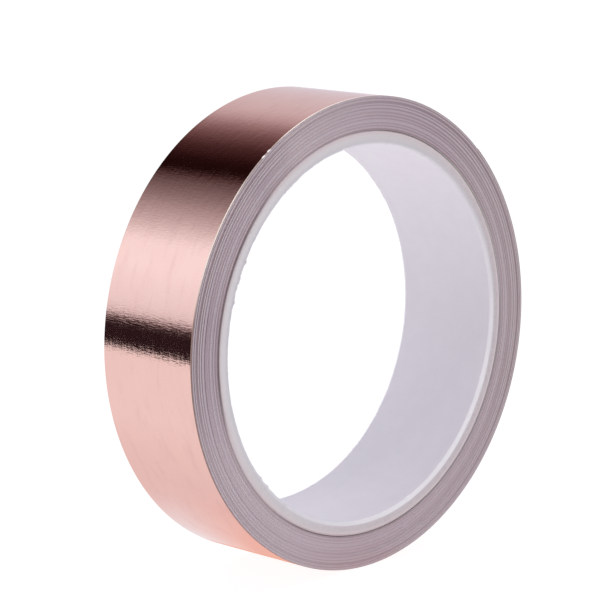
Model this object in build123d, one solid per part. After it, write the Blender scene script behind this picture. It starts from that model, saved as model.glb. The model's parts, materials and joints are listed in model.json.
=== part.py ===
"""Roll of self-adhesive copper foil tape, 25 mm wide, wound on a white plastic core.

Row frame in millimetres: origin at the roll's centre, +Y along the roll's axis, +Z up. The roll stands on its
rim. Angles are in degrees round the axis, from +X towards +Z. The tape is wound in the direction of growing
angle, with its copper outwards and its release liner inwards.

The tape is three strips bonded in a stack: release liner, adhesive film and copper foil. Each strip is one
continuous spiral. Its last stretch is cut into separate solids at two lines, because the free end lifts off the
roll at the first line and the foil peels off its liner at the second. The foil's last whole turn is a solid of its
own too, because it is the one turn that other things touch.
"""

import math
import os

from build123d import *

# Core
BORE_RADIUS = 38.5
CORE_RADIUS = 41.1
CORE_WIDTH = 25.0
CORE_EDGE_ROUND = 0.3

# Tape, from the inside of a turn to its outside
TAPE_WIDTH = 25.0
LINER_THICK = 0.050
ADHESIVE_THICK = 0.020
FOIL_THICK = 0.030
PITCH = LINER_THICK + ADHESIVE_THICK + FOIL_THICK

# Double-sided strip that fastens the tape's inner end to the core
STARTER_THICK = 0.16
STARTER_WIDTH = 24.0
STARTER_START = -48.0
STARTER_END = 26.0

# Winding
FIRST_TURN_GAP = 0.2
SPIRAL_RADIUS = CORE_RADIUS + FIRST_TURN_GAP
TURNS = 69
INNER_END = 5.0
HALF_TURN = 180.0

# Lines across the tape, as angles counted along the spiral, and the cut left between two solids
LIFT_LINE = 360.0 * TURNS + 14.0
PEEL_LINE = 360.0 * TURNS + 21.0
TIP_LINE = 360.0 * TURNS + 46.0
OUTER_TURN_LINE = LIFT_LINE - 360.0
CUT_GAP = 0.02


def spiral_arcs(offset, start, end):
    """The arcs of a spiral curve, between two angles counted along it, at an offset outwards from its inner face.

    Each half turn is an arc about one of two centres, a quarter pitch either side of the axis, and its radius is
    half a pitch more than the last one's. So the arcs meet smoothly, and every turn nests in the next.
    """
    arcs = []
    for half_turn in range(math.floor(start / HALF_TURN), math.ceil(end / HALF_TURN)):
        centre = PITCH / 4 if half_turn % 2 else -PITCH / 4
        radius = SPIRAL_RADIUS + offset + half_turn * PITCH / 2
        first = max(start, half_turn * HALF_TURN)
        last = min(end, (half_turn + 1) * HALF_TURN)
        arcs.append(CenterArc((centre, 0), radius, first, last - first))
    return arcs


def stand_up(face, width):
    """A face drawn in the XY plane as a solid of that width along Y, with the face's Y axis turned to Z."""
    return Rot(90, 0, 0) * extrude(face, width / 2, both=True)


def strip(offset, thickness, start, end):
    """One layer of the tape, from its inner face's offset in the stack, between two angles along the spiral."""
    inner = spiral_arcs(offset, start, end)
    outer = spiral_arcs(offset + thickness, start, end)
    cut_ends = [Line(inner[0] @ 0, outer[0] @ 0), Line(inner[-1] @ 1, outer[-1] @ 1)]
    return stand_up(make_face(Wire([*inner, *outer, *cut_ends])), TAPE_WIDTH)


def liner(start, end):
    return strip(0, LINER_THICK, start, end)


def adhesive(start, end):
    return strip(LINER_THICK, ADHESIVE_THICK, start, end)


def foil(start, end):
    return strip(LINER_THICK + ADHESIVE_THICK, FOIL_THICK, start, end)


def gap_angle(gap):
    """The angle that a short length takes up on the outside of the roll."""
    return math.degrees(gap / (SPIRAL_RADIUS + PITCH * TURNS))


def core():
    """Plain tube with its four rims lightly rounded."""
    tube = extrude(Circle(CORE_RADIUS) - Circle(BORE_RADIUS), CORE_WIDTH / 2, both=True)
    rims = tube.edges().filter_by(GeomType.CIRCLE)
    return Rot(90, 0, 0) * fillet(rims, CORE_EDGE_ROUND)


def starter_strip():
    """Short curved strip stuck on the core, under the tape's inner end."""
    span = STARTER_END - STARTER_START
    inner = CenterArc((0, 0), CORE_RADIUS, STARTER_START, span)
    outer = CenterArc((0, 0), CORE_RADIUS + STARTER_THICK, STARTER_START, span)
    cut_ends = [Line(inner @ 0, outer @ 0), Line(inner @ 1, outer @ 1)]
    return stand_up(make_face(Wire([inner, outer, *cut_ends])), STARTER_WIDTH)


def build():
    cut = gap_angle(CUT_GAP)
    return {
        "core": core(),
        "starter_strip": starter_strip(),
        "liner_winding": liner(INNER_END, LIFT_LINE - cut),
        "adhesive_winding": adhesive(INNER_END, LIFT_LINE - cut),
        "foil_winding": foil(INNER_END, OUTER_TURN_LINE - cut),
        "foil_outer_turn": foil(OUTER_TURN_LINE, LIFT_LINE - cut),
        "liner_end": liner(LIFT_LINE, TIP_LINE),
        "adhesive_fold": adhesive(LIFT_LINE, PEEL_LINE - cut),
        "foil_fold": foil(LIFT_LINE, PEEL_LINE - cut),
        "adhesive_end": adhesive(PEEL_LINE, TIP_LINE),
        "foil_end": foil(PEEL_LINE, TIP_LINE),
    }


os.makedirs("parts", exist_ok=True)
for name, solid in build().items():
    export_step(solid, f"parts/{name}.step")
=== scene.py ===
"""Looks of the copper foil tape roll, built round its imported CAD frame.

Mesh code works in millimetres and is scaled to metres when a mesh is made. Angles along the tape are
counted in turns of its spiral, and angles round the axis run from +X towards +Z. Every piece carries a UV
map named "tape", in millimetres: u runs along it, v across it.
"""

import json
import math

import bpy
import numpy as np
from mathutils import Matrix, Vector, noise


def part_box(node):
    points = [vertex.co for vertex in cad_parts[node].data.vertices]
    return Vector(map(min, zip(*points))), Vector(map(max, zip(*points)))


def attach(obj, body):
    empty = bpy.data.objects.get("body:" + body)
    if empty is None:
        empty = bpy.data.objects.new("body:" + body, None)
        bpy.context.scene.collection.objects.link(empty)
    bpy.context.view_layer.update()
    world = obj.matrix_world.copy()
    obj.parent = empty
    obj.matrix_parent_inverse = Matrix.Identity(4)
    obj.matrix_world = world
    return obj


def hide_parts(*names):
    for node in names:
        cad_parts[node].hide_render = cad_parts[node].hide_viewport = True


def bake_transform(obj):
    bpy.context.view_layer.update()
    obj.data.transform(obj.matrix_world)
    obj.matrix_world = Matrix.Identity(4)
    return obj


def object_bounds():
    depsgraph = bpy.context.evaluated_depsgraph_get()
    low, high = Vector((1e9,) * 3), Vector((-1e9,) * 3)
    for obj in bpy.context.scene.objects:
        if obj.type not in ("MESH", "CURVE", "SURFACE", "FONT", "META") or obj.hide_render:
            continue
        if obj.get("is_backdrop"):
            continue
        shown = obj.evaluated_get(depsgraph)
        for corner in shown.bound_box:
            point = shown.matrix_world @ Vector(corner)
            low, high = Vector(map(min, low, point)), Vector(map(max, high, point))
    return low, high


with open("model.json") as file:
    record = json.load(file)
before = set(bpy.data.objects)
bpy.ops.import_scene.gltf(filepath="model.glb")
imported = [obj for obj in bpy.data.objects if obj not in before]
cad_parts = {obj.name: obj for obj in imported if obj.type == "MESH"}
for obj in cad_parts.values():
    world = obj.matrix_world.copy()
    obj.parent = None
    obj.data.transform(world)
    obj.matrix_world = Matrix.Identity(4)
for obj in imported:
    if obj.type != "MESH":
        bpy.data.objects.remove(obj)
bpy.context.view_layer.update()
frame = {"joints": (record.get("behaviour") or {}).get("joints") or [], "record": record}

MM = 0.001
TAU = 2 * math.pi

# ---------------------------------------------------------------- dimensions, in millimetres and turns

joints = {joint["name"]: joint for joint in frame["joints"]}
mounts = {mount["name"]: mount for mount in frame["record"]["mounts"]}

core_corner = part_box("core")[1]
CORE_RADIUS = core_corner.x / MM
HALF_WIDTH = core_corner.y / MM
BORE_RADIUS = mounts["core_bore"]["dims"]["r_mm"]

STARTER_THICK = 0.16
STARTER_START = -48.0
STARTER_END = 26.0

PITCH = 0.1
SPIRAL_RADIUS = CORE_RADIUS + 0.2
TURNS = 69
INNER_END = 5 / 360
LINER = (0.0, 0.05)
ADHESIVE = (0.05, 0.07)
FOIL = (0.07, 0.1)


def joint_line(name):
    """Where a joint's line crosses the tape, in turns along the spiral."""
    x, _, z = joints[name]["pos_m"]
    return TURNS + math.atan2(z, x + PITCH / 4 * MM) / TAU


LIFT_LINE = joint_line("tape_end_lift")
PEEL_LINE = joint_line("foil_peel")
PEEL_BEND_END = PEEL_LINE + 7 / 360
TIP_LINE = PEEL_LINE + 25 / 360

EDGE_ROLL = 0.40
RING_SPACING = 0.68
COARSE_STEPS = 128
FINE_STEPS = 720

# ---------------------------------------------------------------- the spiral


def spiral(turn, offset):
    """x and z on the two-centre spiral, at an offset outwards from the liner's inner face."""
    turn = np.asarray(turn, float)
    half_turn = np.floor(turn * 2 + 1e-9)
    centre = np.where(half_turn % 2 == 1, PITCH / 4, -PITCH / 4)
    radius = SPIRAL_RADIUS + offset + half_turn * PITCH / 2
    return centre + radius * np.cos(turn * TAU), radius * np.sin(turn * TAU)


def tape_length(turn):
    """Length of tape from the spiral's start to a turn."""
    turn = np.asarray(turn, float)
    return TAU * (SPIRAL_RADIUS * turn + PITCH * turn**2 / 2)


def smooth_noise(seed, knots_per_turn, size):
    """A random curve over the whole winding, with knots joined by smooth steps."""
    rng = np.random.default_rng(seed)
    knots = rng.normal(0, size, int((TURNS + 3) * knots_per_turn) + 2)

    def curve(turn):
        at = np.asarray(turn, float) * knots_per_turn
        low = np.clip(np.floor(at).astype(int), 0, len(knots) - 2)
        share = at - low
        share = share * share * (3 - 2 * share)
        return knots[low] * (1 - share) + knots[low + 1] * share

    return curve


slow_drift = smooth_noise(3, 0.25, 0.016)
turn_drift = smooth_noise(8, 0.9, 0.014)
fine_drift = smooth_noise(21, 6.0, 0.006)


def wander(turn):
    """How far the tape strays along the roll's axis. The last turn comes back to the middle."""
    turn = np.asarray(turn, float)
    settled = np.clip((TURNS + 0.04 - turn) / 0.8, 0, 1)
    return (slow_drift(turn) + turn_drift(turn) + fine_drift(turn)) * settled


# ---------------------------------------------------------------- meshes


def new_object(name, vertices, faces, uvs, materials, face_materials=None, sharp_degrees=35):
    """A smooth-shaded mesh from millimetre vertices, with its "tape" UV map given per face corner."""
    mesh = bpy.data.meshes.new(name)
    mesh.from_pydata((np.asarray(vertices, float) * MM).tolist(), [], faces)
    layer = mesh.uv_layers.new(name="tape")
    layer.data.foreach_set("uv", np.asarray(uvs, np.float32).ravel())
    for material in materials:
        mesh.materials.append(material)
    if face_materials is not None:
        mesh.polygons.foreach_set("material_index", np.asarray(face_materials, np.int32))
    mesh.shade_smooth()
    mesh.set_sharp_from_angle(angle=math.radians(sharp_degrees))
    obj = bpy.data.objects.new(name, mesh)
    bpy.context.scene.collection.objects.link(obj)
    return obj


def sections(start, end, steps):
    """Turn counts from start to end, on a grid of steps a turn that neighbouring turns share."""
    grid = np.arange(math.ceil(start * steps + 1e-6), math.floor(end * steps - 1e-6) + 1) / steps
    return np.concatenate([[start], grid, [end]])


def strip(name, layer, start, end, steps, materials, width_steps=1, relief=None):
    """One layer of the tape between two places on the spiral, as a closed strip.

    The ring of each section runs over the outer face from front to back, then back over the inner face. The
    first material is for the two faces, the second for the cut edges.
    """
    turns = sections(start, end, steps)
    count = len(turns)
    outer_y = np.linspace(-HALF_WIDTH, HALF_WIDTH, width_steps + 1)
    columns = len(outer_y)
    length = tape_length(turns)
    shift = wander(turns)

    rise = np.zeros((count, columns))
    if relief is not None:
        rise = relief(length[:, None], outer_y[None, :])

    ring = columns + 2
    points = np.zeros((count, ring, 3))
    for column in range(columns):
        x, z = spiral(turns, layer[1] + rise[:, column])
        points[:, column] = np.stack([x, outer_y[column] + shift, z], axis=1)
    inner_x, inner_z = spiral(turns, layer[0])
    points[:, columns] = np.stack([inner_x, HALF_WIDTH + shift, inner_z], axis=1)
    points[:, columns + 1] = np.stack([inner_x, -HALF_WIDTH + shift, inner_z], axis=1)

    ring_v = np.concatenate([outer_y, [HALF_WIDTH, -HALF_WIDTH]])
    faces, uvs, slots = [], [], []
    for column in range(ring):
        following = (column + 1) % ring
        is_edge = column == columns - 1 or column == columns + 1
        low, high = ring_v[column], ring_v[following]
        if is_edge:
            high = low + (layer[1] - layer[0]) * math.copysign(1, low)
        for i in range(count - 1):
            a, b = i * ring, (i + 1) * ring
            faces.append((a + column, b + column, b + following, a + following))
            uvs += [(length[i], low), (length[i + 1], low), (length[i + 1], high), (length[i], high)]
            slots.append(1 if is_edge else 0)
    for i, order in ((0, range(ring)), (count - 1, range(ring - 1, -1, -1))):
        faces.append(tuple(i * ring + k for k in order))
        uvs += [(length[i], ring_v[k]) for k in order]
        slots.append(1)
    return new_object(name, points.reshape(-1, 3), faces, uvs, materials, slots)


def foil_relief(along, across):
    """Shallow waves in the copper's outer face, in millimetres, seen only in its reflections."""
    slow = 0.0016 * np.sin(along / 5.3 + 0.8 * np.sin(across / 4.1 + 1.0) + 1.7)
    cross = 0.0010 * np.sin(across / 1.9 + 0.9 * np.sin(along / 11.0)) * np.sin(along / 8.7 + 2.0)
    fine = 0.0005 * np.sin(along / 1.35 + 1.6 * np.sin(across / 1.3 + along / 9.0))
    return slow + cross + fine


CORE_STEPS = 900
BEAD_ROUND = 0.55
# The core's outer rims, unevenly squashed by the saw: degrees round the axis, rounding, height of the lip
OUTER_RIM = (
    (0, 0.30, 0.12), (30, 0.50, 0.05), (60, 0.45, 0.06), (80, 0.35, 0.10), (100, 0.25, 0.15),
    (125, 0.25, 0.15), (145, 0.60, 0.0), (180, 0.60, 0.0), (200, 0.30, 0.12), (225, 0.25, 0.15),
    (300, 0.28, 0.15), (335, 0.30, 0.15),
)


def arc_points(centre_r, centre_y, radius, first, last, count):
    """Points of an arc in a section through the axis, with angles in degrees from +r towards +y."""
    angles = np.radians(np.linspace(first, last, count))
    return [(centre_r + radius * math.cos(a), centre_y + radius * math.sin(a)) for a in angles]


def core_section(rim_round, lip):
    """The core's section as (radius, y, burr) points; burr is a point's share of the rim's roughness."""
    low, high = BORE_RADIUS + BEAD_ROUND, CORE_RADIUS + lip - rim_round
    end = HALF_WIDTH - rim_round
    lip_foot = end - 0.5 * lip - 0.05
    bead_end = HALF_WIDTH - BEAD_ROUND
    points = []
    points += [(r, y, 0.15) for r, y in arc_points(high, -end, rim_round, -90, 0, 8)]
    points += [(CORE_RADIUS, y, 0.0) for y in np.linspace(-lip_foot, lip_foot, 4)]
    points += [(r, y, 0.15) for r, y in arc_points(high, end, rim_round, 0, 90, 8)]
    points += [(r, HALF_WIDTH, 0.2) for r in np.linspace(high, low, 9)[1:-1]]
    points += [(r, y, 1.0) for r, y in arc_points(low, bead_end, BEAD_ROUND, 90, 180, 10)]
    points += [(BORE_RADIUS, y, 0.0) for y in np.linspace(bead_end, -bead_end, 40)[1:-1]]
    points += [(r, y, 1.0) for r, y in arc_points(low, -bead_end, BEAD_ROUND, 180, 270, 10)]
    points += [(r, -HALF_WIDTH, 0.2) for r in np.linspace(low, high, 9)[1:-1]]
    return points


# Places round the bore's front rim, in degrees, where the saw left a whisker of plastic
RIM_WHISKERS = (64, 151, 163, 219.5, 223.5, 290, 338)


def burr_height(angle, side):
    """Height of the burr that the saw left on the bore's rim: a wavering bead with a few torn places."""
    place = Vector((math.cos(angle), math.sin(angle), side * 3.0))
    bead = 0.6 + 0.5 * noise.noise(place * 4.0)
    ragged = noise.noise(place * 30.0) + 0.7 * noise.noise(place * 75.0)
    torn = max(0.0, noise.noise(place * 9.0 + Vector((7, 3, 1))) - 0.2) * 2.0
    height = 0.11 * bead + 0.05 * ragged + 0.3 * torn * noise.noise(place * 55.0)
    if side < 0:
        degrees = math.degrees(angle)
        height += sum(0.2 * math.exp(-(((degrees - whisker) / 0.6) ** 2)) for whisker in RIM_WHISKERS)
    return height


def core_mesh(material):
    """The core tube: a section turned round the axis, with burrs on its rims and a faintly uneven bore."""
    rim_angles, rim_rounds, rim_lips = zip(*OUTER_RIM)
    vertices = []
    for step in range(CORE_STEPS):
        angle = step / CORE_STEPS * TAU
        rim_round = np.interp(math.degrees(angle), rim_angles, rim_rounds, period=360)
        lip = np.interp(math.degrees(angle), rim_angles, rim_lips, period=360)
        section = core_section(rim_round, lip)
        burrs = {side: burr_height(angle, side) for side in (-1, 1)}
        for radius, y, burr in section:
            side = -1 if y < 0 else 1
            push = burrs[side] * burr
            if radius == BORE_RADIUS and burr == 0.0:
                place = Vector((math.cos(angle) * 2.2, y * 0.09, math.sin(angle) * 2.2))
                radius = radius + 0.05 * noise.noise(place)
            x = (radius - push * 0.8) * math.cos(angle)
            z = (radius - push * 0.8) * math.sin(angle)
            vertices.append((x, y + side * push * 0.7, z))
    faces, uvs = [], []
    ring = len(section)
    lengths = np.cumsum([0] + [math.dist(section[k][:2], section[(k + 1) % ring][:2]) for k in range(ring)])
    for step in range(CORE_STEPS):
        following = (step + 1) % CORE_STEPS
        u0, u1 = (BORE_RADIUS * TAU * (step + k) / CORE_STEPS for k in (0, 1))
        for k in range(ring):
            nxt = (k + 1) % ring
            faces.append((step * ring + k, step * ring + nxt, following * ring + nxt, following * ring + k))
            uvs += [(u0, lengths[k]), (u0, lengths[k + 1]), (u1, lengths[k + 1]), (u1, lengths[k])]
    return new_object("core_tube", vertices, faces, uvs, [material])


def starter_mesh(material):
    """The starter strip, with enough steps to follow the core."""
    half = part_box("starter_strip")[1].y / MM
    outer = CORE_RADIUS + STARTER_THICK
    angles = np.radians(np.linspace(STARTER_START, STARTER_END, 150))
    vertices, faces, uvs = [], [], []
    for a in angles:
        for radius, y in ((CORE_RADIUS, -half), (CORE_RADIUS, half)):
            vertices.append((radius * math.cos(a), y, radius * math.sin(a)))
        for radius, y in ((outer, half), (outer, -half)):
            vertices.append((radius * math.cos(a), y, radius * math.sin(a)))
    for i in range(len(angles) - 1):
        for k in range(4):
            n = (k + 1) % 4
            faces.append((i * 4 + k, i * 4 + n, (i + 1) * 4 + n, (i + 1) * 4 + k))
            uvs += [(i, k), (i, k + 1), (i + 1, k + 1), (i + 1, k)]
    last = (len(angles) - 1) * 4
    for face in ((3, 2, 1, 0), (last, last + 1, last + 2, last + 3)):
        faces.append(face)
        uvs += [(0, 0), (1, 0), (1, 1), (0, 1)]
    return new_object("starter_patch", vertices, faces, uvs, [material])


# ---------------------------------------------------------------- materials


class Shader:
    """The node tree of a material or world, with short calls that add a node and return its output."""

    def __init__(self, owner, output_kind="ShaderNodeOutputMaterial"):
        owner.use_nodes = True
        self.owner = owner
        self.nodes = owner.node_tree.nodes
        self.links = owner.node_tree.links
        self.nodes.clear()
        self.output = self.nodes.new(output_kind)

    def add(self, kind, inputs=None, **settings):
        node = self.nodes.new(kind)
        for key, value in settings.items():
            setattr(node, key, value)
        for key, value in (inputs or {}).items():
            self.put(node.inputs[key], value)
        return node

    def put(self, socket, value):
        if isinstance(value, bpy.types.NodeSocket):
            self.links.new(value, socket)
        else:
            socket.default_value = value

    def tape_uv(self, u_scale=1.0, v_scale=1.0):
        """The tape UV map in millimetres, stretched so that a pattern is long in one direction."""
        uv = self.add("ShaderNodeUVMap", uv_map="tape").outputs["UV"]
        scale = (u_scale, v_scale, 1.0)
        return self.add("ShaderNodeVectorMath", {0: uv, 1: scale}, operation="MULTIPLY").outputs[0]

    def across(self):
        """How far across the tape, in millimetres from its middle."""
        uv = self.add("ShaderNodeUVMap", uv_map="tape").outputs["UV"]
        return self.add("ShaderNodeSeparateXYZ", {0: uv}).outputs["Y"]

    def place(self, scale=1.0):
        """The position in the row frame, in millimetres."""
        spot = self.add("ShaderNodeTexCoord").outputs["Object"]
        scale = (scale / MM,) * 3
        return self.add("ShaderNodeVectorMath", {0: spot, 1: scale}, operation="MULTIPLY").outputs[0]

    def distance(self, spot):
        """The distance from a spot in the row frame, in millimetres."""
        vectors = {0: self.place(), 1: spot}
        return self.add("ShaderNodeVectorMath", vectors, operation="DISTANCE").outputs["Value"]

    def noise(self, vector, scale=1.0, detail=2.0, roughness=0.5):
        inputs = {"Vector": vector, "Scale": scale, "Detail": detail, "Roughness": roughness}
        return self.add("ShaderNodeTexNoise", inputs).outputs["Fac"]

    def math(self, operation, a, b=0.0, c=0.0, clamp=False):
        inputs = {0: a, 1: b, 2: c}
        return self.add("ShaderNodeMath", inputs, operation=operation, use_clamp=clamp).outputs[0]

    def hypotenuse(self, a, b):
        return self.math("SQRT", self.math("ADD", self.math("POWER", a, 2.0), self.math("POWER", b, 2.0)))

    def spread(self, value, low, high, to_low=0.0, to_high=1.0):
        """Maps low..high of a value to to_low..to_high, held at both ends."""
        inputs = {"Value": value, "From Min": low, "From Max": high, "To Min": to_low, "To Max": to_high}
        return self.add("ShaderNodeMapRange", inputs, clamp=True).outputs["Result"]

    def ramp(self, share, stops):
        """A grey level read off a list of (share, level) stops."""
        ramp = self.add("ShaderNodeValToRGB", {"Fac": share})
        elements = ramp.color_ramp.elements
        while len(elements) < len(stops):
            elements.new(0.5)
        for element, (position, level) in zip(elements, stops):
            element.position = position
            element.color = rgb(level, level, level)
        return ramp.outputs["Color"]

    def round_axis(self):
        """The share of a turn round the roll's axis, from +X towards +Z."""
        parts = self.add("ShaderNodeSeparateXYZ", {0: self.place()}).outputs
        turns = self.math("DIVIDE", self.math("ARCTAN2", parts["Z"], parts["X"]), TAU)
        return self.math("FRACT", self.math("ADD", turns, 1.0))

    def toward(self, degrees):
        """The cosine of the angle between a point and a direction, seen along the roll's axis."""
        turns = self.math("SUBTRACT", self.round_axis(), degrees / 360)
        return self.math("COSINE", self.math("MULTIPLY", turns, TAU))

    def mix(self, share, first, second):
        node = self.nodes.new("ShaderNodeMix")
        node.data_type = "RGBA"
        self.put(node.inputs[0], share)
        self.put(node.inputs[6], first)
        self.put(node.inputs[7], second)
        return node.outputs[2]

    def bump(self, height, distance, strength=1.0, normal=None):
        inputs = {"Height": height, "Distance": distance * MM, "Strength": strength}
        if normal is not None:
            inputs["Normal"] = normal
        return self.add("ShaderNodeBump", inputs).outputs["Normal"]

    def surface(self, socket):
        """Sends a shader to the output, and returns the finished material or world."""
        self.links.new(socket, self.output.inputs["Surface"])
        return self.owner

    def principled(self, inputs):
        return self.surface(self.add("ShaderNodeBsdfPrincipled", inputs).outputs["BSDF"])


def new_material(name):
    return Shader(bpy.data.materials.new(name))


def rgb(red, green, blue):
    return (red, green, blue, 1.0)


# Painted highlight and shade on the rolled front edge of the foil, by degrees round the axis: pale where
# light catches it, dark brown where it lies in shade
EDGE_PAINTED_LIGHT = (
    (0, 0.5), (60, 0.7), (92, 1.0), (117, 1.0), (122, 0.35), (133, 0.35), (138, 0.95), (156, 0.9),
    (170, 0.05), (245, 0.0), (300, 0.3),
)

# Places on the foil's front edge where it is nicked and the liner shows
NICK_ANGLES = (124.5, 126.6)


def on_front_edge(degrees):
    """A point on the front edge of the roll's outer face."""
    radius = SPIRAL_RADIUS + PITCH * (TURNS - 1 + degrees / 360) + FOIL[1]
    return radius * math.cos(math.radians(degrees)), -HALF_WIDTH, radius * math.sin(math.radians(degrees))


def copper_face():
    """Rolled copper foil: a soft mirror with ripples, drawn lines, smudges and a rough front edge with
    painted highlight and shade.
    """
    s = new_material("copper_foil_face")
    swell = s.noise(s.tape_uv(0.35, 0.9), 1.0, 3.0, 0.6)
    ripples = s.noise(s.tape_uv(3.4, 0.5), 1.0, 2.0, 0.6)
    pits = s.noise(s.tape_uv(1.1, 0.9), 1.0, 2.0, 0.5)
    lines = s.noise(s.tape_uv(0.06, 4.5), 1.0, 3.0, 0.6)
    from_middle = s.math("ABSOLUTE", s.across())
    rolled = s.spread(from_middle, HALF_WIDTH - EDGE_ROLL, HALF_WIDTH)
    rolled = s.math("MULTIPLY", rolled, s.spread(s.across(), -1.0, 1.0, 1.0, 0.0))
    normal = s.bump(s.math("SUBTRACT", 1.0, s.math("POWER", rolled, 2.0)), EDGE_ROLL / 2)
    normal = s.bump(swell, 0.020, normal=normal)
    normal = s.bump(ripples, 0.010, normal=normal)
    normal = s.bump(pits, 0.004, normal=normal)
    normal = s.bump(lines, 0.004, normal=normal)
    patches = s.noise(s.tape_uv(0.12, 0.25), 1.0, 3.0, 0.55)
    smudges = s.spread(s.noise(s.tape_uv(0.14, 0.42), 1.0, 4.0, 0.6), 0.52, 0.72)
    tint = s.mix(s.spread(patches, 0.35, 0.7), rgb(0.955, 0.640, 0.545), rgb(0.935, 0.615, 0.530))
    tint = s.mix(s.spread(lines, 0.4, 0.75, 0.0, 0.12), tint, rgb(0.90, 0.575, 0.49))
    tint = s.mix(s.math("MULTIPLY", smudges, 0.5), tint, rgb(0.83, 0.53, 0.47))
    # The front edge is rougher and less metallic, and its colour carries painted highlight and shade by
    # degrees round the axis
    edge_wear_and_light = s.spread(s.across(), -HALF_WIDTH + EDGE_ROLL, -HALF_WIDTH + EDGE_ROLL * 0.7)
    painted_edge_light = s.ramp(s.round_axis(), [(degrees / 360, level) for degrees, level in EDGE_PAINTED_LIGHT])
    tint = s.mix(edge_wear_and_light, tint, s.mix(painted_edge_light, rgb(0.30, 0.16, 0.13), rgb(1.0, 0.92, 0.86)))
    nicks = s.math("MAXIMUM", *(s.spread(s.distance(on_front_edge(a)), 0.60, 0.40) for a in NICK_ANGLES))
    tint = s.mix(nicks, tint, rgb(1.0, 1.0, 1.0))
    rough = s.math("ADD", s.spread(patches, 0.3, 0.7, 0.055, 0.085), s.math("MULTIPLY", smudges, 0.03))
    rough = s.math("ADD", rough, s.math("MULTIPLY", edge_wear_and_light, 0.35))
    metal = s.spread(s.math("MAXIMUM", edge_wear_and_light, nicks), 0.0, 1.0, 1.0, 0.15)
    # Painted glint: the lit part of the front edge and the nicks glow a little, as a painted highlight
    painted_glint = s.math("MAXIMUM", s.math("MULTIPLY", edge_wear_and_light, painted_edge_light), nicks)
    return s.principled({
        "Base Color": tint,
        "Metallic": metal,
        "Roughness": rough,
        "Normal": normal,
        "Emission Color": rgb(1.0, 0.83, 0.68),
        "Emission Strength": s.math("MULTIPLY", painted_glint, 0.35),
    })


def copper_edge():
    """The slit edge of the foil: duller and darker than its face."""
    s = new_material("copper_foil_edge")
    grain = s.noise(s.tape_uv(2.0, 2.0), 1.0, 3.0, 0.7)
    tint = s.mix(grain, rgb(0.40, 0.24, 0.24), rgb(0.70, 0.48, 0.44))
    return s.principled({"Base Color": tint, "Metallic": 0.6, "Roughness": 0.42})


def liner_face():
    """Silicone-coated release paper: smooth, faintly mottled, and almost white."""
    s = new_material("release_liner_face")
    clouds = s.noise(s.tape_uv(0.5, 0.5), 1.0, 5.0, 0.6)
    fibres = s.noise(s.tape_uv(3.0, 7.0), 1.0, 4.0, 0.7)
    tint = s.mix(s.spread(clouds, 0.3, 0.7), rgb(0.80, 0.79, 0.76), rgb(0.88, 0.87, 0.85))
    normal = s.bump(fibres, 0.01)
    return s.principled({"Base Color": tint, "Roughness": 0.38, "Normal": normal})


# How strongly the painted highlight and shade of the rings show in the side of the roll, by degrees round
# the axis, as the light falls on them
RING_PAINTED_CONTRAST = (
    (0, 1.0), (45, 1.0), (60, 0.90), (80, 0.60), (100, 0.45), (120, 0.65), (140, 1.0), (165, 1.0),
    (185, 0.85), (200, 0.40), (240, 0.35), (270, 0.45), (300, 0.55), (340, 1.0), (360, 1.0),
)

# Painted sheen: paleness of the side of the roll by degrees round the axis, where the light falls on it
SIDE_PAINTED_SHEEN = (
    (0, 1.0), (30, 0.72), (60, 0.16), (90, 0.50), (118, 1.0), (145, 0.0), (160, 0.05), (182, 0.38),
    (210, 1.0), (240, 0.92), (270, 0.52), (300, 0.75), (330, 0.80), (360, 1.0),
)

# Directions round the axis, in degrees, of places beside the crevice between the core and the tape: where
# it has painted shade, where the starter strip fills it, and where the core's lip has painted shade
CREVICE_SHADE_SIDE = 165.0
FILLED_SIDE = -20.0
LIP_SHADE_SIDE = -60.0


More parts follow.
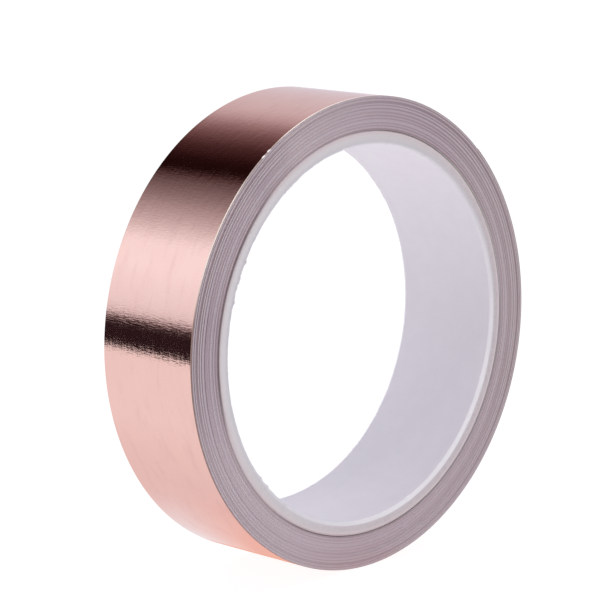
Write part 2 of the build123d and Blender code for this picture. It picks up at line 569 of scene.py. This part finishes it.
def liner_edge():
    """The liner's slit edge, which gives the side of the roll its grey-lavender colour.

    Pale and dark rings of a fairly even spacing, with fainter dark single turns between them, are painted
    highlight and shade standing in for runs of turns that stand a little proud or shy. The side's paleness
    round the roll is a painted sheen. The innermost turns carry painted shade from the crevice beside them,
    but not where the starter strip fills the gap.
    """
    s = new_material("release_liner_edge")
    along = s.add("ShaderNodeSeparateXYZ", {0: s.tape_uv()}).outputs["X"]
    square = s.math("ADD", s.math("MULTIPLY", along, PITCH / math.pi), SPIRAL_RADIUS**2)
    radius = s.math("SQRT", square)
    strength = s.ramp(s.round_axis(), [(degrees / 360, level) for degrees, level in RING_PAINTED_CONTRAST])
    strength = s.math("MULTIPLY", strength, s.spread(radius, 44.8, 46.2, 0.6, 1.0))
    loudness = s.noise(s.tape_uv(1 / 1900.0, 0.0), 7.0, 1.0, 0.5)
    strength = s.math("MULTIPLY", strength, s.spread(loudness, 0.35, 0.65, 0.6, 1.0))
    drift = s.noise(s.tape_uv(1 / 2600.0, 0.0), 1.0, 1.0, 0.5)
    phase = s.math("ADD", s.math("MULTIPLY", radius, TAU / RING_SPACING), s.math("MULTIPLY", drift, 9.0))
    wave = s.math("SINE", phase)
    # Painted highlight and shade: pale and dark rings stand in for runs of proud and shy turns
    pale = s.math("MULTIPLY", s.spread(wave, 0.1, 0.5), strength)
    dark = s.math("MULTIPLY", s.spread(wave, -0.1, -0.5), strength)
    grain = s.noise(s.place(), 3.5, 3.0, 0.7)
    clouds = s.noise(s.place(), 0.045, 2.0, 0.5)
    # Painted sheen: the side is paler or darker round the roll as the light falls
    painted_side_sheen = s.ramp(s.round_axis(), [(degrees / 360, level) for degrees, level in SIDE_PAINTED_SHEEN])
    tint = s.mix(s.spread(grain, 0.3, 0.7), rgb(0.56, 0.47, 0.63), rgb(0.73, 0.615, 0.80))
    tint = s.mix(s.spread(clouds, 0.35, 0.65, 0.0, 0.12), tint, rgb(0.98, 0.92, 0.98))
    tint = s.mix(painted_side_sheen, tint, rgb(0.98, 0.90, 1.0))
    tint = s.mix(pale, tint, rgb(1.0, 1.0, 1.0))
    tint = s.mix(dark, tint, rgb(0.10, 0.07, 0.11))
    # Painted shade on single shy turns
    single = s.noise(s.tape_uv(1 / 380.0, 0.0), 1.0, 1.0, 0.5)
    tint = s.mix(s.spread(single, 0.35, 0.60, 0.26, 0.0), tint, rgb(0.30, 0.22, 0.31))
    # Painted shade on the innermost turns beside the crevice, darkest on the left, none where the starter
    # strip fills it
    innermost = s.spread(radius, SPIRAL_RADIUS + 0.45, SPIRAL_RADIUS + 0.25)
    innermost = s.math("MULTIPLY", innermost, s.spread(s.toward(CREVICE_SHADE_SIDE), 0.75, 0.95, 0.5, 1.0))
    innermost = s.math("MULTIPLY", innermost, s.spread(s.toward(FILLED_SIDE), 0.80, 0.55))
    tint = s.mix(innermost, tint, rgb(0.22, 0.14, 0.17))
    return s.principled({"Base Color": tint, "Roughness": 0.7})


def adhesive_face():
    """Clear acrylic adhesive film over the copper."""
    s = new_material("adhesive_film_face")
    dapple = s.noise(s.tape_uv(1.5, 1.5), 1.0, 3.0, 0.6)
    gloss = s.add("ShaderNodeBsdfPrincipled", {
        "Base Color": rgb(0.75, 0.55, 0.40),
        "Roughness": s.spread(dapple, 0.3, 0.7, 0.15, 0.35),
        "Normal": s.bump(dapple, 0.01),
    })
    clear = s.add("ShaderNodeBsdfTransparent", {"Color": rgb(1.0, 0.97, 0.92)})
    mixed = s.add("ShaderNodeMixShader", {0: 0.22, 1: clear.outputs[0], 2: gloss.outputs[0]})
    return s.surface(mixed.outputs[0])


def adhesive_edge():
    s = new_material("adhesive_film_edge")
    grain = s.noise(s.place(), 4.0, 2.0, 0.6)
    tint = s.mix(grain, rgb(0.34, 0.26, 0.30), rgb(0.52, 0.42, 0.47))
    return s.principled({"Base Color": tint, "Roughness": 0.6})


# Painted highlight: glow of the bead round the bore, by degrees round the axis
BEAD_PAINTED_GLOW = ((0, 0.15), (40, 0.0), (190, 0.0), (240, 0.12), (285, 0.25), (330, 0.25), (360, 0.15))


def core_plastic():
    """Milky white plastic, cloudy and a little translucent.

    Its sawn rims are duller than its bore, except for the bead round the bore, which has a painted glow. The
    rims carry painted light towards the upper left, and next to the tape they are pinkish. The lip carries
    painted shade at the lower right, and the crevice on the left is painted near black as shade.
    """
    s = new_material("core_milky_plastic")
    clouds = s.noise(s.place(), 0.30, 4.0, 0.6)
    grain = s.noise(s.place(), 2.2, 3.0, 0.6)
    parts = s.add("ShaderNodeSeparateXYZ", {0: s.place()}).outputs
    radius = s.hypotenuse(parts["X"], parts["Z"])
    tint = s.mix(s.spread(clouds, 0.3, 0.7), rgb(0.835, 0.80, 0.855), rgb(0.86, 0.825, 0.875))
    rim = s.mix(s.spread(grain, 0.35, 0.65), rgb(0.74, 0.66, 0.69), rgb(0.82, 0.75, 0.78))
    # Painted light: the rims are paler towards the upper left, where the light falls
    lit = s.math("SUBTRACT", s.math("MULTIPLY", parts["Z"], 0.5), s.math("MULTIPLY", parts["X"], 0.87))
    rim = s.mix(s.spread(lit, -25.0, 38.0), rim, rgb(0.95, 0.91, 0.94))
    rim = s.mix(s.spread(radius, CORE_RADIUS - 0.9, CORE_RADIUS - 0.3), rim, rgb(0.92, 0.80, 0.83))
    on_rim = s.spread(s.math("ABSOLUTE", parts["Y"]), HALF_WIDTH - 0.8, HALF_WIDTH - 0.6)
    beyond_bead = s.spread(radius, BORE_RADIUS + 0.6, BORE_RADIUS + 1.1)
    tint = s.mix(s.math("MULTIPLY", on_rim, beyond_bead), tint, rim)
    # Painted shade: the crevice between the core and the tape on the left is painted near black
    crevice_shade = s.spread(radius, CORE_RADIUS - 0.35, CORE_RADIUS - 0.02)
    crevice_shade = s.math("MULTIPLY", crevice_shade, s.spread(s.toward(CREVICE_SHADE_SIDE), 0.80, 0.96))
    tint = s.mix(crevice_shade, tint, rgb(0.05, 0.03, 0.035))
    # Painted shade on the core's lip at the lower right
    lip_shade = s.spread(radius, CORE_RADIUS - 0.35, CORE_RADIUS - 0.05)
    lip_shade = s.math("MULTIPLY", lip_shade, s.spread(s.toward(LIP_SHADE_SIDE), 0.12, 0.54))
    tint = s.mix(lip_shade, tint, rgb(0.64, 0.53, 0.56))
    bead = s.spread(s.math("ABSOLUTE", parts["Y"]), HALF_WIDTH - 0.7, HALF_WIDTH - 0.35)
    bead = s.math("MULTIPLY", bead, s.spread(radius, BORE_RADIUS + 0.75, BORE_RADIUS + 0.45))
    # Painted highlight: the bead round the bore glows a little
    glow = s.ramp(s.round_axis(), [(degrees / 360, level) for degrees, level in BEAD_PAINTED_GLOW])
    normal = s.bump(grain, 0.03)
    normal = s.bump(clouds, 0.03, normal=normal)
    return s.principled({
        "Base Color": tint,
        "Roughness": 0.5,
        "Subsurface Weight": 0.2,
        "Subsurface Radius": (1.0, 1.0, 1.0),
        "Subsurface Scale": 0.6 * MM,
        "Normal": normal,
        "Emission Color": rgb(1.0, 0.98, 1.0),
        "Emission Strength": s.math("MULTIPLY", bead, glow),
    })


def starter_film():
    """Double-sided starter tape: a buff, slightly dirty edge."""
    s = new_material("starter_tape")
    grain = s.noise(s.place(), 2.0, 3.0, 0.6)
    tint = s.mix(grain, rgb(0.78, 0.68, 0.69), rgb(0.95, 0.87, 0.88))
    return s.principled({"Base Color": tint, "Roughness": 0.6})


# ---------------------------------------------------------------- build

copper = [copper_face(), copper_edge()]
liner = [liner_face(), liner_edge()]
adhesive = [adhesive_face(), adhesive_edge()]

core_tube = core_mesh(core_plastic())
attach(core_tube, "wound_roll")
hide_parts("core")

starter = starter_mesh(starter_film())
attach(starter, "wound_roll")
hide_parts("starter_strip")

outer_turn_line = LIFT_LINE - 1
windings = [
    (
        strip("liner_turns", LINER, INNER_END, LIFT_LINE, COARSE_STEPS, liner),
        "liner_winding",
        "liner_paper",
    ),
    (
        strip("adhesive_turns", ADHESIVE, INNER_END, LIFT_LINE, COARSE_STEPS, adhesive),
        "adhesive_winding",
        "adhesive_film",
    ),
    (
        strip("foil_turns", FOIL, INNER_END, outer_turn_line, COARSE_STEPS, copper),
        "foil_winding",
        "copper_foil",
    ),
    (
        strip("foil_top_turn", FOIL, outer_turn_line, LIFT_LINE, FINE_STEPS, copper, 40, foil_relief),
        "foil_outer_turn",
        "copper_foil",
    ),
]
for piece, node, slot in windings:
    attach(piece, "wound_roll")
    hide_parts(node)

free_end = [
    (
        strip("liner_free_end", LINER, LIFT_LINE, TIP_LINE, FINE_STEPS, liner, 12),
        "liner_end",
        "liner_paper",
        ("wound_roll", "lifted_end", LIFT_LINE, PEEL_LINE),
    ),
    (
        strip("adhesive_bend", ADHESIVE, LIFT_LINE, PEEL_LINE, FINE_STEPS, adhesive, 12),
        "adhesive_fold",
        "adhesive_film",
        ("wound_roll", "lifted_end", LIFT_LINE, PEEL_LINE),
    ),
    (
        strip("foil_bend", FOIL, LIFT_LINE, PEEL_LINE, FINE_STEPS, copper, 40, foil_relief),
        "foil_fold",
        "copper_foil",
        ("wound_roll", "lifted_end", LIFT_LINE, PEEL_LINE),
    ),
    (
        strip("adhesive_free_end", ADHESIVE, PEEL_LINE, TIP_LINE, FINE_STEPS, adhesive, 12),
        "adhesive_end",
        "adhesive_film",
        ("lifted_end", "peeled_foil", PEEL_LINE, PEEL_BEND_END),
    ),
    (
        strip("foil_free_end", FOIL, PEEL_LINE, TIP_LINE, FINE_STEPS, copper, 40, foil_relief),
        "foil_end",
        "copper_foil",
        ("lifted_end", "peeled_foil", PEEL_LINE, PEEL_BEND_END),
    ),
]
for piece, node, slot, (first, second, start, end) in free_end:
    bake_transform(piece)
    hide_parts(node)

# ---------------------------------------------------------------- floor, light and camera

FLOOR_SIZE = 8.0
TABLE_SLANT = 171.0


def floor():
    """A plain white light table under the roll.

    The camera sees it white, with a faint contact shadow. The plastics see an even glow. The foil sees the
    glow dimmed beside the roll, with painted warm light under it for light thrown back by the copper, and
    ending at the table's slanting edge; far off on the right it sees the glow again.
    """
    s = new_material("pale_floor")
    parts = s.add("ShaderNodeSeparateXYZ", {0: s.place()}).outputs
    side = s.math("ABSOLUTE", parts["X"])
    depth = s.math("ABSOLUTE", parts["Y"])
    reach = s.hypotenuse(side, depth)
    glow = s.mix(s.spread(side, 42.0, 80.0), rgb(0.825, 0.745, 0.795), rgb(0.90, 0.88, 0.95))
    glow = s.mix(s.spread(side, 35.0, 15.0), glow, rgb(0.90, 0.97, 1.06))
    # Painted warm light on the table near and under the roll, seen only by the foil
    outlying = s.math("ADD", depth, s.math("MULTIPLY", side, 0.2))
    painted_bounce_warmth = s.math("MULTIPLY", s.spread(outlying, 28.0, 7.0, 0.0, 0.85), s.spread(side, 45.0, 12.0))
    painted_bounce_below = s.math("MULTIPLY", s.spread(side, 17.0, 12.0), s.spread(depth, 32.0, 13.0))
    glow = s.mix(s.math("MAXIMUM", painted_bounce_warmth, painted_bounce_below), glow, rgb(0.90, 0.40, 0.27))
    slant = s.math("SUBTRACT", s.math("MULTIPLY", side, 0.95), s.math("MULTIPLY", depth, 0.30))
    beyond = s.spread(slant, TABLE_SLANT - 3, TABLE_SLANT)
    far_right = s.math("MULTIPLY", s.spread(parts["X"], 0.0, 1.0), s.spread(reach, 800.0, 900.0))
    glow = s.mix(s.math("SUBTRACT", beyond, far_right, clamp=True), glow, rgb(0.022, 0.011, 0.015))
    path = s.add("ShaderNodeLightPath").outputs
    lit = s.mix(path["Is Glossy Ray"], rgb(0.97, 0.95, 0.97), glow)
    table = s.add("ShaderNodeEmission", {"Color": lit})
    white = s.add("ShaderNodeEmission", {"Color": rgb(0.93, 0.93, 0.93)})
    shaded = s.add("ShaderNodeBsdfDiffuse", {"Color": rgb(0.16, 0.16, 0.16)})
    seen = s.add("ShaderNodeAddShader", {0: white.outputs[0], 1: shaded.outputs[0]})
    shares = {0: path["Is Camera Ray"], 1: table.outputs[0], 2: seen.outputs[0]}
    s.surface(s.add("ShaderNodeMixShader", shares).outputs[0])
    low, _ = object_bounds()
    mesh = bpy.data.meshes.new("floor")
    half = FLOOR_SIZE / 2
    corners = [(-half, -half), (half, -half), (half, half), (-half, half)]
    mesh.from_pydata([(x, y, low.z) for x, y in corners], [], [(0, 1, 2, 3)])
    mesh.materials.append(s.owner)
    obj = bpy.data.objects.new("floor", mesh)
    bpy.context.scene.collection.objects.link(obj)
    obj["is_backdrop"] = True


# Brightness of the studio as the foil sees it, by degrees round the roll's axis from +X up and over to -X:
# a wide softbox on the right, a black flag overhead, a softbox on the left and the dark room under it.
STUDIO = (
    (0, 0.72), (30, 0.68), (46, 0.64), (55, 0.52), (62, 0.33), (70, 0.17), (80, 0.06), (90, 0.017),
    (98, 0.010), (100.5, 0.07), (114, 0.27), (127, 0.58), (139, 1.0), (152, 1.01), (170, 0.88),
    (175.5, 0.76), (179.5, 0.03),
)


# Direction of the brightest part of the dome that lights the plastics: high up, behind the roll
SKYLIGHT = (-0.15, 0.55, 0.82)


def studio_world():
    """White to the camera, a soft dome to the plastics, and softboxes and flags to the foil."""
    world = bpy.data.worlds.new("studio")
    bpy.context.scene.world = world
    s = Shader(world, "ShaderNodeOutputWorld")
    world.cycles.sampling_method = "NONE"
    direction = s.add("ShaderNodeTexCoord").outputs["Generated"]
    parts = s.add("ShaderNodeSeparateXYZ", {0: direction}).outputs
    around = s.math("ABSOLUTE", s.math("ARCTAN2", parts["Z"], parts["X"]))
    level = s.ramp(s.math("DIVIDE", around, math.pi), [(degrees / 180, level) for degrees, level in STUDIO])
    depth = s.math("POWER", level, s.spread(around, math.radians(98), math.radians(104), 1.30, 1.15))
    green = s.math("MULTIPLY", depth, 1.05)
    blue = s.math("MULTIPLY", depth, 1.17)
    for_foil = s.add("ShaderNodeCombineColor", {"Red": level, "Green": green, "Blue": blue}).outputs[0]
    even = s.math("ADD", s.math("MULTIPLY", parts["X"], 0.30), s.math("MULTIPLY", parts["Y"], 0.45))
    even = s.math("MAXIMUM", s.math("ADD", even, 0.50), 0.02)
    vectors = {0: direction, 1: SKYLIGHT}
    facing = s.add("ShaderNodeVectorMath", vectors, operation="DOT_PRODUCT").outputs["Value"]
    skylight = s.math("POWER", s.math("MAXIMUM", facing, 0.0), 6.0)
    dome = s.add("ShaderNodeCombineColor", {
        "Red": s.math("ADD", even, s.math("MULTIPLY", skylight, 0.98)),
        "Green": s.math("ADD", even, s.math("MULTIPLY", skylight, 1.02)),
        "Blue": s.math("MULTIPLY", s.math("ADD", even, s.math("MULTIPLY", skylight, 1.10)), 1.03),
    }).outputs[0]
    path = s.add("ShaderNodeLightPath").outputs
    colour = s.mix(path["Is Glossy Ray"], dome, for_foil)
    colour = s.mix(path["Is Camera Ray"], colour, rgb(1, 1, 1))
    s.surface(s.add("ShaderNodeBackground", {"Color": colour, "Strength": 1.0}).outputs[0])


def softbox(name, place, target, size, power):
    """A square area light."""
    light = bpy.data.lights.new(name, "AREA")
    light.shape = "SQUARE"
    light.size = size
    light.energy = power
    obj = bpy.data.objects.new(name, light)
    obj.location = place
    obj.rotation_mode = "QUATERNION"
    obj.rotation_quaternion = (Vector(target) - Vector(place)).to_track_quat("-Z", "Y")
    bpy.context.scene.collection.objects.link(obj)


CAMERA_AZIMUTH = -45.3
CAMERA_ELEVATION = 10.32
CAMERA_DISTANCE = 0.5655
CAMERA_LENS = 165.7
AIM_RIGHT = -0.0045
AIM_UP = 0.00538


def camera():
    """The viewpoint of the reference: a long lens, a little above the roll and to its left."""
    a, e = math.radians(CAMERA_AZIMUTH), math.radians(CAMERA_ELEVATION)
    back = Vector((math.sin(a) * math.cos(e), -math.cos(a) * math.cos(e), math.sin(e)))
    right = Vector((math.cos(a), math.sin(a), 0))
    up = back.cross(right)
    data = bpy.data.cameras.new("camera")
    data.lens = CAMERA_LENS
    data.sensor_width = 36.0
    data.clip_start, data.clip_end = 0.01, 50.0
    obj = bpy.data.objects.new("camera", data)
    obj.location = back * CAMERA_DISTANCE + right * AIM_RIGHT + up * AIM_UP
    obj.rotation_mode = "QUATERNION"
    obj.rotation_quaternion = (-back).to_track_quat("-Z", "Y")
    bpy.context.scene.collection.objects.link(obj)
    bpy.context.scene.camera = obj


floor()
studio_world()
softbox("key", (-0.40, -0.92, 0.56), (0, 0, 0), 0.25, 0.75)
softbox("overhead", (0.09, -0.22, 0.97), (0, 0, 0), 0.16, 0.7)
camera()
bpy.context.scene.view_settings.view_transform = "Standard"
